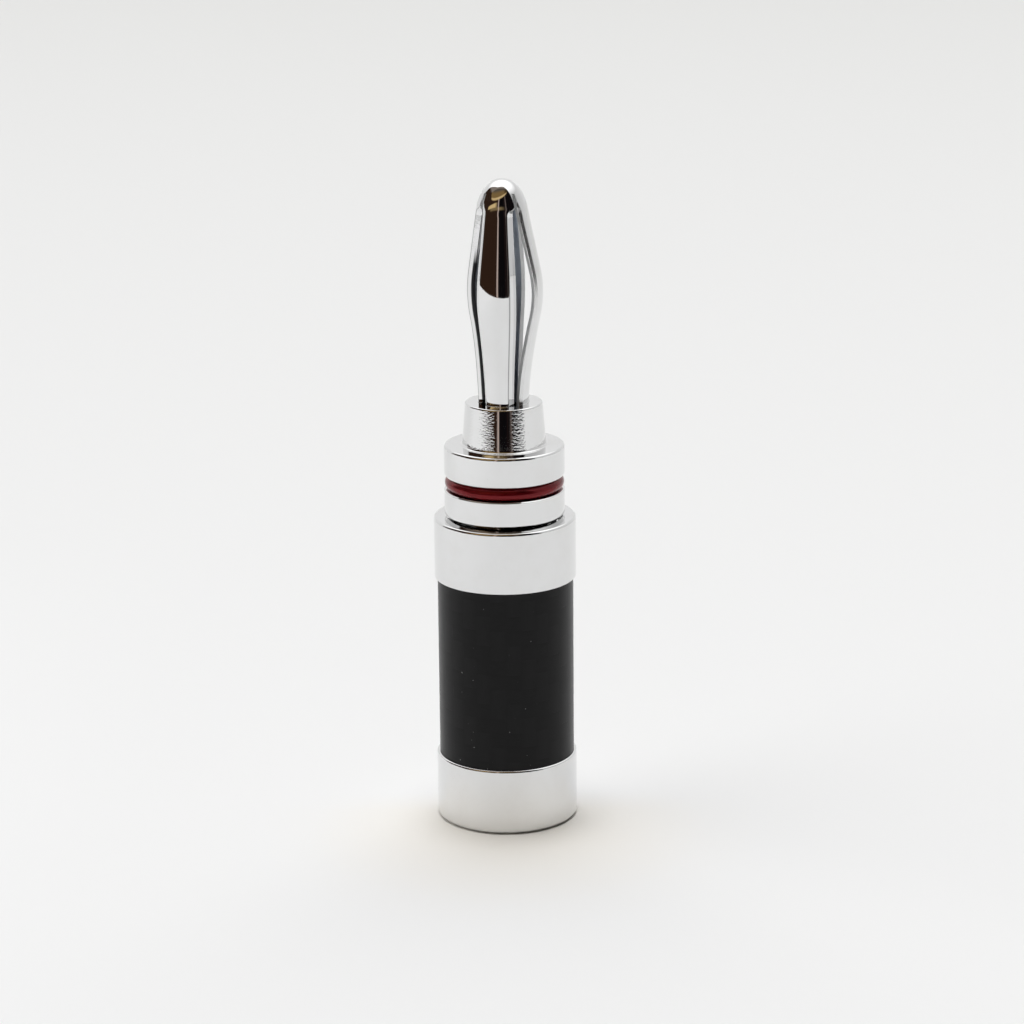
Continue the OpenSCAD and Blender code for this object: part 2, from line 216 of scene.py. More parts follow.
class StageSettings(PropertyGroup):
    """Camera, floor and light."""

    camera_place: FloatVectorProperty(name="Camera place", description="Place of the camera", size=3,
                                      default=(0.000555, -0.24034, 0.09337), subtype="XYZ", unit="LENGTH")
    camera_tilt: angle("Camera tilt", "Downward tilt of the camera", 15.978)
    camera_roll: angle("Camera roll", "Roll of the camera", -0.53)
    lens: level("Lens", "Focal length in millimetres on a 36 mm sensor", 113.7)
    # Near, Far and Lit floor paint light and shade into the paper: darker towards the back and the right,
    # lighter to the left of the plug.
    floor_near: colour("Near floor", "Floor round the plug", 0.890, 0.890, 0.888)
    floor_far: colour("Far floor", "Floor at the back", 0.775, 0.775, 0.763)
    floor_lit: colour("Lit floor", "Floor to the left of the plug, where it is lightest", 1, 1, 1)
    # Painted warm shadow on the floor in front of the end ring.
    floor_shadow_tint: colour("Floor glow", "Warm tint of the floor in front of the end ring", 0.90, 0.85, 0.76)
    floor_grain: colour("Floor grain", "Grain of the floor", 0.8, 0.8, 0.79)
    floor_fade: length("Floor fade", "Distance over which the floor darkens", 560)
    floor_reach: length("Floor reach", "Half width of the floor", 1600)
    sky: share("Sky", "Brightness of the light from all round", 0.05)
    key: level("Key light", "Brightness of the light overhead", 16)
    back_light: level("Back light", "Brightness of the soft light behind the plug", 1.25)
    back_height: angle("Back height", "Height of that light above the floor", 40)
    left_light: level("Left light", "Brightness of the soft light to the left", 1.2)
    left_height: angle("Left height", "Height of that light above the floor", 28)
    key_height: angle("Key height", "Height of the mirrored light above the back of the floor", 80)
    mirrored: share("Mirrored sky", "Brightness of the surroundings that the metal mirrors", 0.70)
    room_away: length("Room distance", "Distance of the dark room that the metal mirrors", 190)
    room_left: length("Room left", "Reach of the dark room to the left", 800)
    room_right: length("Room right", "Reach of the dark room to the right", 330)
    room_height: length("Room height", "Height of the dark room", 2600)
    side_foot: length("Side foot", "Height at which the dark room's left side begins", 120)
    side_reach: length("Side reach", "Reach of that side to the back", 450)
    side_height: length("Side height", "Height of that side at its back end", 900)
    room_brown: colour("Room brown", "Brown side of the dark room", 0.030, 0.015, 0.009)
    room_black: colour("Room black", "Black side of the dark room", 0.004, 0.0035, 0.004)
    room_post: colour("Room post", "Pale post in the dark room", 0.66, 0.52, 0.46)
    room_gold: colour("Room gold", "Lit edge in the dark room", 0.80, 0.58, 0.28)
    room_folds: colour("Room folds", "Folds in the dark room's lower part", 0.05, 0.022, 0.018)
    room_upper: colour("Room upper", "Part of the dark room above its lit edge", 0.22, 0.14, 0.055)
    room_haze: colour("Room haze", "Greyer part above that", 0.10, 0.085, 0.07)
    room_top: colour("Room top", "Top of the dark room", 0.25, 0.21, 0.18)


class PlugSettings(PropertyGroup):
    """Everything that a user may change."""

    barrel: PointerProperty(type=BarrelSizes)
    nose: PointerProperty(type=NoseSizes)
    pin: PointerProperty(type=PinSizes)
    thread: PointerProperty(type=ThreadSizes)
    colours: PointerProperty(type=PlugColours)
    stage: PointerProperty(type=StageSettings)


def foot(node):
    """Lowest height of a CAD node."""
    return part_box(node)[0].z


def top(node):
    """Greatest height of a CAD node."""
    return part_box(node)[1].z


def reach(node):
    """Outer radius of a turned CAD node."""
    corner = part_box(node)[1]
    return min(corner.x, corner.y)


def extent(node):
    """Outer radius, lowest and greatest height of a turned CAD node."""
    return reach(node), foot(node), top(node)


def sums(operation):
    """Methods that work out a sum with a node's output as its first or its second term."""
    return (lambda self, *others: self.graph.math(operation, self, *others),
            lambda self, other: self.graph.math(operation, other, self))


class Value:
    """Output of a node that works in sums as a number does."""

    __add__, __radd__ = sums("ADD")
    __sub__, __rsub__ = sums("SUBTRACT")
    __mul__, __rmul__ = sums("MULTIPLY")
    __truediv__, __rtruediv__ = sums("DIVIDE")
    __mod__, __rmod__ = sums("FLOORED_MODULO")
    __pow__, __rpow__ = sums("POWER")
    __lt__, __gt__ = sums("LESS_THAN")
    __abs__ = sums("ABSOLUTE")[0]
    __floor__ = sums("FLOOR")[0]

    def __init__(self, graph, socket):
        self.graph, self.socket = graph, socket


class Graph:
    """Maker of the nodes of one tree."""

    def __init__(self, tree):
        self.tree = tree
        tree.nodes.clear()

    def node(self, kind, settings=None, inputs=None, output=0):
        """Makes a node, sets it, fills its inputs with values or links, and gives one of its outputs."""
        made = self.tree.nodes.new(kind)
        for name, value in (settings or {}).items():
            if name == "stops":
                self.stops(made.color_ramp, value)
            else:
                setattr(made, name, value)
        for name, value in (inputs or {}).items():
            if isinstance(value, Value):
                self.tree.links.new(value.socket, made.inputs[name])
            else:
                made.inputs[name].default_value = value
        return Value(self, made.outputs[output]) if made.outputs else None

    @staticmethod
    def stops(ramp, stops):
        """Gives a colour ramp its stops, each a place and a grey level."""
        while len(ramp.elements) < len(stops):
            ramp.elements.new(1)
        for element, (place, grey) in zip(ramp.elements, stops):
            element.position, element.color = place, (grey, grey, grey, 1)

    def math(self, operation, *terms):
        """A sum worked out by a node."""
        return self.node("ShaderNodeMath", {"operation": operation}, dict(enumerate(terms)))

    def mix(self, factor, first, second):
        """Colour between two colours, each a node's output or a setting."""
        first, second = (c if isinstance(c, Value) else (*c, 1) for c in (first, second))
        return self.node("ShaderNodeMix", {"data_type": "RGBA"}, {0: factor, 6: first, 7: second}, 2)

    def ramp(self, value, *stops):
        """A value turned into grey levels by stops, each a place and a level."""
        return self.node("ShaderNodeValToRGB", {"stops": stops}, {"Fac": value})

    def near(self, value, middle, half, solid):
        """1 round a middle, over a share of the half width, and 0 from the half width on."""
        return self.ramp(abs(value - middle) / half, (solid, 1), (1.0, 0))

    def noise(self, place, scale, detail=2.0, roughness=0.5):
        """A level that wanders from place to place."""
        return self.node("ShaderNodeTexNoise", None,
                         {"Vector": place, "Scale": scale, "Detail": detail, "Roughness": roughness})

    def vector(self, x, y, z):
        """A vector from three numbers."""
        return self.node("ShaderNodeCombineXYZ", None, {"X": x, "Y": y, "Z": z})

    def parts(self, vector):
        """The three numbers of a vector."""
        node = self.node("ShaderNodeSeparateXYZ", None, {"Vector": vector}).socket.node
        return [Value(self, node.outputs[i]) for i in range(3)]

    def place(self):
        """Place on the piece, in metres."""
        return self.node("ShaderNodeTexCoord", output="Object")

    def carried(self, name):
        """Number that a piece's mesh carries at each point, or 0."""
        return self.node("ShaderNodeAttribute", {"attribute_name": name}, output="Fac")

    def relief(self, strength, distance, height):
        """Normal of a surface with small bumps."""
        return self.node("ShaderNodeBump", None,
                         {"Strength": strength, "Distance": distance, "Height": height})


def new_material(name):
    """An empty material and the maker of its nodes."""
    material = bpy.data.materials.new(name)
    material.use_nodes = True
    return material, Graph(material.node_tree)


def surface(graph, inputs):
    """Ends a material in a Principled shader."""
    shader = graph.node("ShaderNodeBsdfPrincipled", None, inputs)
    graph.node("ShaderNodeOutputMaterial", None, {"Surface": shader})


def painted_gap_shade(graph, z):
    """Mask of the painted shade in the gap to the left of the front leaf, below the upper part of the pin.
    """
    limit = top("spring_pin")
    return graph.carried("left") * graph.ramp((limit - z) / limit, (0.10, 0), (0.125, 1))


def polished_plating(name, haze, ripple, coarse):
    """Mirror plating on turned metal: faint turning lines, ripples in the polish, hazy fingerprints and a
    few specks. Between two heights it is left a little coarser. On the pin it also carries a painted shade
    line along each right bevel and painted shade in the gap to the left of the front leaf."""
    colours = bpy.context.scene.plug.colours
    material, graph = new_material(name)
    place = graph.place()
    x, y, z = graph.parts(place)
    turned = graph.vector((x * x + y * y) ** 0.5, z, 0)
    lines = graph.noise(turned, 7000, 1)
    waves = graph.noise(place, 2600, 2)
    prints = graph.ramp(graph.noise(place, 420, 4, 0.62), (0.46, 0), (0.72, 1))
    pits = graph.ramp(graph.noise(place, 5200, 2, 0.6), (0.60, 0), (0.78, 1))
    turn = graph.math("ARCTAN2", x, y * -1)
    chatter = graph.noise(graph.vector(turn * 0.0032, z * 1.9, 0), 3600, 2)
    band = (z > coarse[0]) * (z < coarse[1]) * graph.ramp(abs(turn + 0.02), (0.16, 0), (0.26, 1))
    height = lines * 0.35 + waves * 0.65 + band * chatter * 9
    cells = graph.node("ShaderNodeTexVoronoi", None, {"Vector": place, "Scale": 620.0}).socket.node
    chance = graph.parts(Value(graph, cells.outputs["Color"]))[0]
    specks = (Value(graph, cells.outputs["Distance"]) < 0.05) * (chance > 0.8)
    tone = graph.mix(prints * 0.5 + pits * 0.15, colours.plating, colours.plating_dull)
    # Painted shade on the inner half of the left leaf's right bevel, in the gap to the left of the front
    # leaf.
    inner_half = graph.ramp(graph.carried("right_bevel"), (0.5, 0), (0.62, 1))
    tone = graph.mix(inner_half * painted_gap_shade(graph, z), tone, colours.painted_gap_shade)
    surface(graph, {
        # Painted shade line where a leaf's face meets its right bevel, mixed with real specks.
        "Base Color": graph.mix(graph.carried("seam") * 0.7 + specks * 0.75, tone, colours.speck_and_edge_shade),
        "Metallic": 1.0,
        "Roughness": haze * (1 + prints * 1.3 + pits * 0.8) + graph.carried("left_bevel") * 0.2,
        "Normal": graph.relief(1.0, ripple, height),
    })
    return material


def dull_plating():
    """Plating inside the pin, which no polishing wheel reaches. It is painted dark inside the left and right
    leaves as painted shade, and pale inside the front and back leaves as painted light.
    """
    colours = bpy.context.scene.plug.colours
    material, graph = new_material("dull_plating")
    blotches = graph.noise(graph.place(), 700, 3)
    grain = graph.noise(graph.place(), 7000, 2)
    # Painted shade and light: dark inside the side leaves, pale inside the front and back ones, with random
    # blotches on top.
    shade = graph.carried("side") * 0.9 + (blotches - 0.5) * 0.5
    surface(graph, {
        "Base Color": graph.mix(shade, colours.inside_pale, colours.inside),
        "Metallic": 1.0,
        "Roughness": 0.3 + 0.15 * blotches,
        "Normal": graph.relief(0.5, 0.000004, grain),
    })
    return material


def sawn_plating():
    """Plating on the saw cuts, with the marks of the saw across them, and painted shade on the left leaf's
    cuts below the upper part of the pin.
    """
    colours = bpy.context.scene.plug.colours
    material, graph = new_material("sawn_plating")
    place = graph.place()
    _, _, z = graph.parts(place)
    strokes = graph.noise(graph.vector(0, 0, z), 9000, 2)
    stain = graph.noise(place, 1500, 3)
    tone = graph.mix(stain * 0.6, colours.plating, colours.plating_dull)
    surface(graph, {
        # Painted shade on the left leaf's saw cuts, in the gap to the left of the front leaf.
        "Base Color": graph.mix(painted_gap_shade(graph, z), tone, colours.painted_gap_shade),
        "Metallic": 0.35,
        "Roughness": 0.4 + 0.15 * strokes,
        "Normal": graph.relief(0.5, 0.000003, strokes),
    })
    return material


def carbon_weave():
    """Black carbon twill under clear lacquer, with a little dust on it. The tows that lie on top and the
    crowns of all tows are painted lighter, as a painted sheen.
    """
    colours, barrel = bpy.context.scene.plug.colours, bpy.context.scene.plug.barrel
    material, graph = new_material("carbon_weave")
    turns, rise, _ = graph.parts(graph.node("ShaderNodeUVMap", {"uv_map": "wrap"}))
    across, along = turns * barrel.tows, rise / (barrel.tow_width / MM)
    column, row = math.floor(across), math.floor(along)
    over = ((column + row) % 4) < 2
    under = 1 - over
    crown_x, crown_y = across % 1 - 0.5, along % 1 - 0.5
    bulge = 1 - 4 * (over * crown_x * crown_x + under * crown_y * crown_y)
    strand = graph.vector((over * across + under * along) * 22, over * along + under * across, over)
    fibres = graph.noise(strand, 1)
    # Painted sheen: tows on top and tow crowns lighter, plus random fibre tone.
    sheen_and_fibre_tone = over * 0.55 + under * 0.25 + (fibres - 0.5) * 0.6
    dust = graph.ramp(graph.noise(graph.place(), 3100, 1, 0.4), (0.79, 0), (0.82, 1))
    tone = graph.mix(sheen_and_fibre_tone * (0.55 + 0.45 * bulge), colours.weave_dark, colours.weave_light)
    surface(graph, {
        "Base Color": graph.mix(dust * 0.5, tone, colours.dust),
        "Roughness": 0.34 + 0.12 * fibres,
        "Specular IOR Level": 0.05,
        "Coat Weight": 0.26 - 0.1 * dust,
        "Coat Roughness": 0.03,
        "Normal": graph.relief(0.35, 0.00001, bulge + fibres * 0.2),
    })
    return material


def red_lacquer():
    """Dark red gloss, a little uneven in depth."""
    colours = bpy.context.scene.plug.colours
    material, graph = new_material("red_lacquer")
    depth = graph.noise(graph.place(), 900, 3)
    grain = graph.noise(graph.place(), 6500, 2)
    surface(graph, {
        "Base Color": graph.mix(depth, colours.red, colours.red_deep),
        "Metallic": 0.5,
        "Roughness": 0.18 + 0.04 * grain,
        "Specular IOR Level": 0.4,
        "Normal": graph.relief(0.1, 0.0000002, grain),
    })
    return material


def screw_steel():
    """Dark oxidised steel with machining marks."""
    colours = bpy.context.scene.plug.colours
    material, graph = new_material("screw_steel")
    marks = graph.noise(graph.place(), 5200, 3)
    stain = graph.noise(graph.place(), 800, 3)
    surface(graph, {
        "Base Color": graph.mix(stain, colours.steel, colours.steel_stain),
        "Metallic": 1.0,
        "Roughness": 0.28 + 0.2 * stain,
        "Normal": graph.relief(0.4, 0.000004, marks),
    })
    return material


def outline_arcs(outline, closed):
    """Points of an outline whose corners are rounded into arcs, each with its outward normal.
    The outline is (radius, height, rounding) corners, with the metal on the left of the way they run."""
    arcs = []
    for i, (radius, height, rounding) in enumerate(outline):
        here = Vector((radius, height))
        before = (here - Vector(outline[i - 1][:2])).normalized()
        after = (Vector(outline[(i + 1) % len(outline)][:2]) - here).normalized()
        if not closed and i in (0, len(outline) - 1):
            way = after if i == 0 else before
            arcs.append((here, Vector((way.y, -way.x))))
            continue
        turn = math.atan2(before.x * after.y - before.y * after.x, before.dot(after))
        start = here - before * rounding * math.tan(abs(turn) / 2)
        normal = Vector((before.y, -before.x))
        side = math.copysign(rounding, turn)
        centre = start - normal * side
        steps = max(2, math.ceil(abs(turn) / ARC_STEP))
        for k in range(steps + 1):
            spun = Matrix.Rotation(turn * k / steps, 2) @ normal
            arcs.append((centre + spun * side, spun))
    return arcs


def lathe(name, outline, closed=True, segments=192):
    """A turned piece with exact normals, and a UV map of turns round it and millimetres up it."""
    points, normals, rings = [], [], []
    for (radius, height), (out, up) in outline_arcs(outline, closed):
        ring = range(len(points), len(points) + (1 if radius < 1e-9 else segments))
        rings.append(ring)
        for i in range(len(ring)):
            turn = 2 * math.pi * i / segments
            points.append((radius * math.cos(turn), radius * math.sin(turn), height))
            normals.append((0, 0, math.copysign(1, up)) if len(ring) == 1
                           else (out * math.cos(turn), out * math.sin(turn), up))
    faces, wraps = [], []
    for lower, upper in zip(rings, rings[1:] + rings[:1] if closed else rings[1:]):
        for i in range(segments):
            low = [lower[i % len(lower)], lower[(i + 1) % len(lower)]]
            high = [upper[(i + 1) % len(upper)], upper[i % len(upper)]]
            corners = list(zip(low + high, (i, i + 1, i + 1, i)))
            kept = [c for k, c in enumerate(corners) if c[0] != corners[k - 1][0]]
            faces.append([v for v, _ in kept])
            wraps += [(t / segments, points[v][2] / MM) for v, t in kept]
    mesh = bpy.data.meshes.new(name)
    mesh.from_pydata(points, [], faces)
    layer = mesh.uv_layers.new(name="wrap")
    layer.data.foreach_set("uv", [n for wrap in wraps for n in wrap])
    mesh.shade_smooth()
    mesh.normals_split_custom_set_from_vertices(normals)
    return add_object(name, mesh)


def add_object(name, mesh):
    """Puts a mesh in the scene."""
    mesh.name = name
    made = bpy.data.objects.new(name, mesh)
    bpy.context.scene.collection.objects.link(made)
    return made


def crease(mesh, limit=math.radians(34)):
    """Smooth shading with crisp edges."""
    mesh.shade_smooth()
    mesh.set_sharp_from_angle(angle=limit)


def paint(piece, material):
    """Gives a piece one material."""
    piece.data.materials.clear()
    piece.data.materials.append(material)


def settle(piece, body, slot, *nodes):
    """Ties a finished piece to its body and hides the CAD nodes that it stands for. The slot is not used."""
    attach(piece, body)
    if nodes:
        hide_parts(*nodes)


def baked(piece):
    """Turns what a piece's modifiers make into its plain mesh."""
    depsgraph = bpy.context.evaluated_depsgraph_get()
    mesh = bpy.data.meshes.new_from_object(piece.evaluated_get(depsgraph), depsgraph=depsgraph)
    piece.modifiers.clear()
    piece.data = mesh
    return piece


def tree_with(name, **inputs):
    """The maker of the nodes of an empty Geometry Nodes tree with named inputs, and those inputs."""
    tree = bpy.data.node_groups.new(name, "GeometryNodeTree")
    tree.interface.new_socket("Geometry", in_out="INPUT", socket_type="NodeSocketGeometry")
    tree.interface.new_socket("Geometry", in_out="OUTPUT", socket_type="NodeSocketGeometry")
    for label, kind in inputs.items():
        tree.interface.new_socket(label, in_out="INPUT", socket_type=f"NodeSocket{kind}")
    graph = Graph(tree)
    group = graph.node("NodeGroupInput").socket.node
    return graph, {s.name: Value(graph, s) for s in group.outputs if s.name}


def grow(piece, tree, values):
    """Runs a Geometry Nodes tree on a piece and keeps the result as its mesh."""
    modifier = piece.modifiers.new(tree.name, "NODES")
    modifier.node_group = tree
    for item in tree.interface.items_tree:
        if item.in_out == "INPUT" and item.name in values:
            modifier[item.identifier] = values[item.name]
    return baked(piece)


def close_tree(graph, geometry, finish):
    """Ends a Geometry Nodes tree."""
    real = graph.node("GeometryNodeRealizeInstances", None, {"Geometry": geometry})
    painted = graph.node("GeometryNodeSetMaterial", None, {"Geometry": real, "Material": finish})
    graph.node("NodeGroupOutput", None, {"Geometry": painted})


def ridge_tree():
    """Tree that winds a thread's ridge round the axis as a right-handed helix."""
    graph, given = tree_with("thread_ridge", Radius="Float", Pitch="Float", Start="Float", Phase="Float",
                             Points="Int", Steps="Int", Height="Float", Base="Float", Crest="Float",
                             Finish="Material")
    line = graph.node("GeometryNodeMeshLine", {"mode": "OFFSET"}, {"Count": given["Points"]})
    index = graph.node("GeometryNodeInputIndex")
    turns = index / given["Steps"]
    spin = turns * (2 * math.pi) + given["Phase"]
    cosine, sine = graph.math("COSINE", spin), graph.math("SINE", spin)
    place = graph.vector(cosine * given["Radius"], sine * given["Radius"],
                         given["Start"] + turns * given["Pitch"])
    wound = graph.node("GeometryNodeSetPosition", None, {"Geometry": line, "Position": place})
    curve = graph.node("GeometryNodeMeshToCurve", None, {"Mesh": wound})
    upright = graph.node("GeometryNodeSetCurveNormal", {"mode": "Z_UP"}, {"Curve": curve})
    half_base, half_crest = given["Base"] * 0.5, given["Crest"] * 0.5
    profile = graph.node("GeometryNodeCurvePrimitiveQuadrilateral", {"mode": "POINTS"}, {
        "Point 1": graph.vector(0, half_base * -1, 0),
        "Point 2": graph.vector(given["Height"], half_crest * -1, 0),
        "Point 3": graph.vector(given["Height"], half_crest, 0),
        "Point 4": graph.vector(0, half_base, 0),
    })
    ridge = graph.node("GeometryNodeCurveToMesh", None,
                       {"Curve": upright, "Profile Curve": profile, "Fill Caps": True})
    close_tree(graph, ridge, given["Finish"])
    return graph.tree


def leaves_tree():
    """Tree that repeats one leaf's share of the pin round the axis and welds the shares together. It sets
    the leaves to the left and right a little askew and spreads the front one, as they are after some use."""
    graph, given = tree_with("leaves", Leaves="Int", First="Float", Weld="Float", Sway="Float",
                             Twist="Float", Spread="Float", Foot="Float", Tip="Float", Finish="Material",
                             Inside="Material", Sawn="Material")
    points = graph.node("GeometryNodePoints", None, {"Count": given["Leaves"]})
    spin = given["First"] + graph.node("GeometryNodeInputIndex") * (2 * math.pi / given["Leaves"])
    turn = graph.node("FunctionNodeEulerToRotation", None, {"Euler": graph.vector(0, 0, spin)})
    shares = graph.node("GeometryNodeInstanceOnPoints", None,
                        {"Points": points, "Instance": given["Geometry"], "Rotation": turn})
    side, front = graph.math("COSINE", spin), graph.math("MAXIMUM", graph.math("SINE", spin) * -1, 0.0)
    left = graph.math("MAXIMUM", side * -1, 0.0)
    # The side share also masks the painted shade inside the side leaves; the left share masks the painted
    # gap shade of the left leaf.
    for name, value in (("side", side * side), ("left", left), ("front", front * front), ("middle", spin)):
        shares = graph.node("GeometryNodeStoreNamedAttribute", {"data_type": "FLOAT", "domain": "INSTANCE"},
                            {"Geometry": shares, "Name": name, "Value": value})
    real = graph.node("GeometryNodeRealizeInstances", None, {"Geometry": shares})
    welded = graph.node("GeometryNodeMergeByDistance", None, {"Geometry": real, "Distance": given["Weld"]})
    x, y, z = graph.parts(graph.node("GeometryNodeInputPosition"))
    rise = (z - given["Foot"]) / (given["Tip"] - given["Foot"])
    rise = graph.math("MINIMUM", graph.math("MAXIMUM", rise, 0.0), 1.0)
    wave = graph.math("SINE", rise * math.pi)
    side, front, middle = (
        graph.node("GeometryNodeInputNamedAttribute", {"data_type": "FLOAT"}, {"Name": name})
        for name in ("side", "front", "middle"))
    cosine, sine = graph.math("COSINE", middle), graph.math("SINE", middle)
    across = graph.math("ARCTAN2", y * cosine - x * sine, x * cosine + y * sine)
    bent = wave * wave * (side * given["Twist"] + front * across * given["Spread"])
    cosine, sine = graph.math("COSINE", bent), graph.math("SINE", bent)
    swayed = side * wave * wave * given["Sway"]
    place = graph.vector(x * cosine - y * sine + swayed, x * sine + y * cosine, z)
    set_askew = graph.node("GeometryNodeSetPosition", None, {"Geometry": welded, "Position": place})
    painted = graph.node("GeometryNodeSetMaterial", None,
                         {"Geometry": set_askew, "Material": given["Finish"]})
    for faces in ("inside", "sawn"):
        marked = graph.node("GeometryNodeInputNamedAttribute", {"data_type": "BOOLEAN"}, {"Name": faces})
        finish = given[faces.capitalize()]
        painted = graph.node("GeometryNodeSetMaterial", None,
                             {"Geometry": painted, "Selection": marked, "Material": finish})
    graph.node("NodeGroupOutput", None, {"Geometry": painted})
    return graph.tree


class LeafShape:
    """Outline of the spring pin, with heights counted from the face of the collar."""

    def __init__(self, sizes):
        self.sizes = sizes
        self.foot_rise, self.top_rise = math.tan(sizes.foot_lean), math.tan(sizes.rise_lean)
        self.fall = math.tan(sizes.fall_lean)
        self.leaf = sizes.rise + sizes.crown + self.crowning(sizes.crown) / self.fall
        self.widest = self.bow(sizes.rise + sizes.crown * self.top_rise / (self.top_rise + self.fall))
        self.tip_base = sizes.flare + self.leaf
        self.slot_top = self.tip_base + sizes.tip - sizes.cap
        lean = sizes.bevel_lean
        self.out = Vector((-math.sin(lean), math.cos(lean)))
        self.along = Vector((math.cos(lean), math.sin(lean)))

    def rising(self, h):
        """Bow of the part that rises, at a height above the flare."""
        return h * self.foot_rise + (self.top_rise - self.foot_rise) * h * h / (2 * self.sizes.rise)

    def crowning(self, h):
        """Bow of the crown, at a height above the part that rises."""
        return (self.rising(self.sizes.rise) + h * self.top_rise
                - (self.top_rise + self.fall) * h * h / (2 * self.sizes.crown))

    def bow(self, h):
        """Distance by which a leaf stands outside the foot of the pin, at a height above the flare."""
        if h < self.sizes.rise:
            return self.rising(h)
        if h < self.sizes.rise + self.sizes.crown:
            return self.crowning(h - self.sizes.rise)
        return (self.leaf - h) * self.fall

    def gap(self, h):
        """Half width of the gap between two leaves."""
        slot, crown = self.sizes.slot, self.sizes.crown_gap
        return (slot + (crown - slot) * self.bow(h) / self.widest) / 2

    def bevel(self, radius, gap, width):
        """Distance from the axis of the plane that cuts a bevel of a width."""
        x = gap + width
        return self.out.dot((x, math.sqrt(radius * radius - x * x)))

    def stopped(self, h):
        """Distance of the right bevel's plane, which runs out of the leaf at the foot of the domed tip."""
        over = max(h - self.sizes.bevel_stop * self.leaf, 0)
        h = max(h - over, 0)
        return self.bevel(self.sizes.foot_radius + self.bow(h), self.gap(h), self.sizes.bevel_right) + over

    def tip(self, t):
        """Point of the domed tip: its radius and height, for t from 0 to 1."""
        s = self.sizes
        r, side = s.foot_radius, s.tip_side * s.tip
        handles = [(r, 0), (r - side * self.fall, side), (s.tip_dome * r, s.tip), (0, s.tip)]
        weights = [(1 - t) ** 3, 3 * t * (1 - t) ** 2, 3 * t * t * (1 - t), t ** 3]
        return (sum(w * p[0] for w, p in zip(weights, handles)),
                self.tip_base + sum(w * p[1] for w, p in zip(weights, handles)))

    def tip_at(self, height):
        """Value of t at which the tip reaches a height."""
        low, high = 0.0, 1.0
        for _ in range(50):
            middle = (low + high) / 2
            low, high = (middle, high) if self.tip(middle)[1] < height else (low, middle)
        return low

    def levels(self):
        """Rings of the sawn part, from the floor of the slots to their top: height, outer radius, inner
        radius, half gap, and the planes of the left and the right bevel."""
        s = self.sizes
        bore, slot = s.foot_radius - s.thickness, s.slot / 2
        planes = self.bevel(s.foot_radius, slot, s.bevel_left), self.stopped(0)
        fillet_steps, leaf_steps, tip_steps = 8, 64, 10
        rings = [(height, s.foot_radius, bore, slot, *planes) for height in (-s.slot_run, -SUNK)]
        for i in range(fillet_steps + 1):
            a = math.radians(90 * i / fillet_steps)
            height, radius = s.fillet * (1 - math.cos(a)), s.foot_radius + s.fillet * (1 - math.sin(a))
            rings.append((height, radius, bore, slot, *planes))
        for i in range(leaf_steps):
            h = self.leaf * i / leaf_steps
            radius, gap = s.foot_radius + self.bow(h), self.gap(h)
            rings.append((s.flare + h, radius, bore + self.bow(h), gap,
                          self.bevel(radius, gap, s.bevel_left), self.stopped(h)))
        last = self.tip_at(self.slot_top)
        for i in range(tip_steps + 1):
            part = i / tip_steps
            radius, height = self.tip(last * part)
            hollow = bore - (height - self.tip_base) * math.tan(DRILL_POINT)
            gap = slot * (1 - (1 - s.slot_end) * part)
            narrowed = s.bevel_left * max(1 - part / s.bevel_run, s.bevel_end)
            rings.append((height, radius, max(hollow, slot * 1.5), gap, self.bevel(radius, gap, narrowed),
                          self.stopped(height - s.flare)))
        return rings

    def corner(self, radius, gap, plane, last):
        """Points round one edge of a leaf, from its face to the wall of the gap: distance from the axis, and
        angle from the middle of the leaf."""
        edge = self.sizes.edge
        sharp = Vector((gap, math.sqrt(radius * radius - gap * gap)))

        def on_face(point, arc):
            """Point of the round face, a way along it from another one towards the leaf's middle."""
            turn = math.atan2(point.x, point.y) + arc / radius
            return Vector((radius * math.sin(turn), radius * math.cos(turn)))

        if sharp.dot(self.out) - plane > 0.02 * edge and not last:
            face = self.out * plane + self.along * math.sqrt(radius * radius - plane * plane)
            wall = self.out * plane + self.along * (gap - self.out.x * plane) / self.along.x
            cut = min(edge / (face - wall).length, 0.3)
            points = [on_face(face, edge), face.lerp(wall, cut), face.lerp(wall, 2 * cut),
                      wall.lerp(face, cut), Vector((gap, wall.y - edge))]
        else:
            points = [on_face(sharp, edge * part) for part in (1, 0.75, 0.5, 0.25)]
            points.append(sharp if last else Vector((gap, sharp.y - edge)))
        return [(p.length, math.pi / self.sizes.leaves - math.atan2(p.x, p.y)) for p in points]

    def section(self, radius, bore, gap, left, right, last):
        """Outer and inner edge of a leaf's cross-section, from left to right, its middle on the X axis."""
        left, right = self.corner(radius, gap, left, last), self.corner(radius, gap, right, last)
        steps = 34
        first, span = -left[0][1], left[0][1] + right[0][1]
        outer = [(r, -a) for r, a in reversed(left)]
        outer += [(radius, first + span * i / steps) for i in range(1, steps)]
        outer += right
        half = math.pi / self.sizes.leaves - math.asin(gap / bore)
        inner = [(bore, half * (2 * i / (len(outer) - 1) - 1)) for i in range(len(outer))]
        return outer, inner


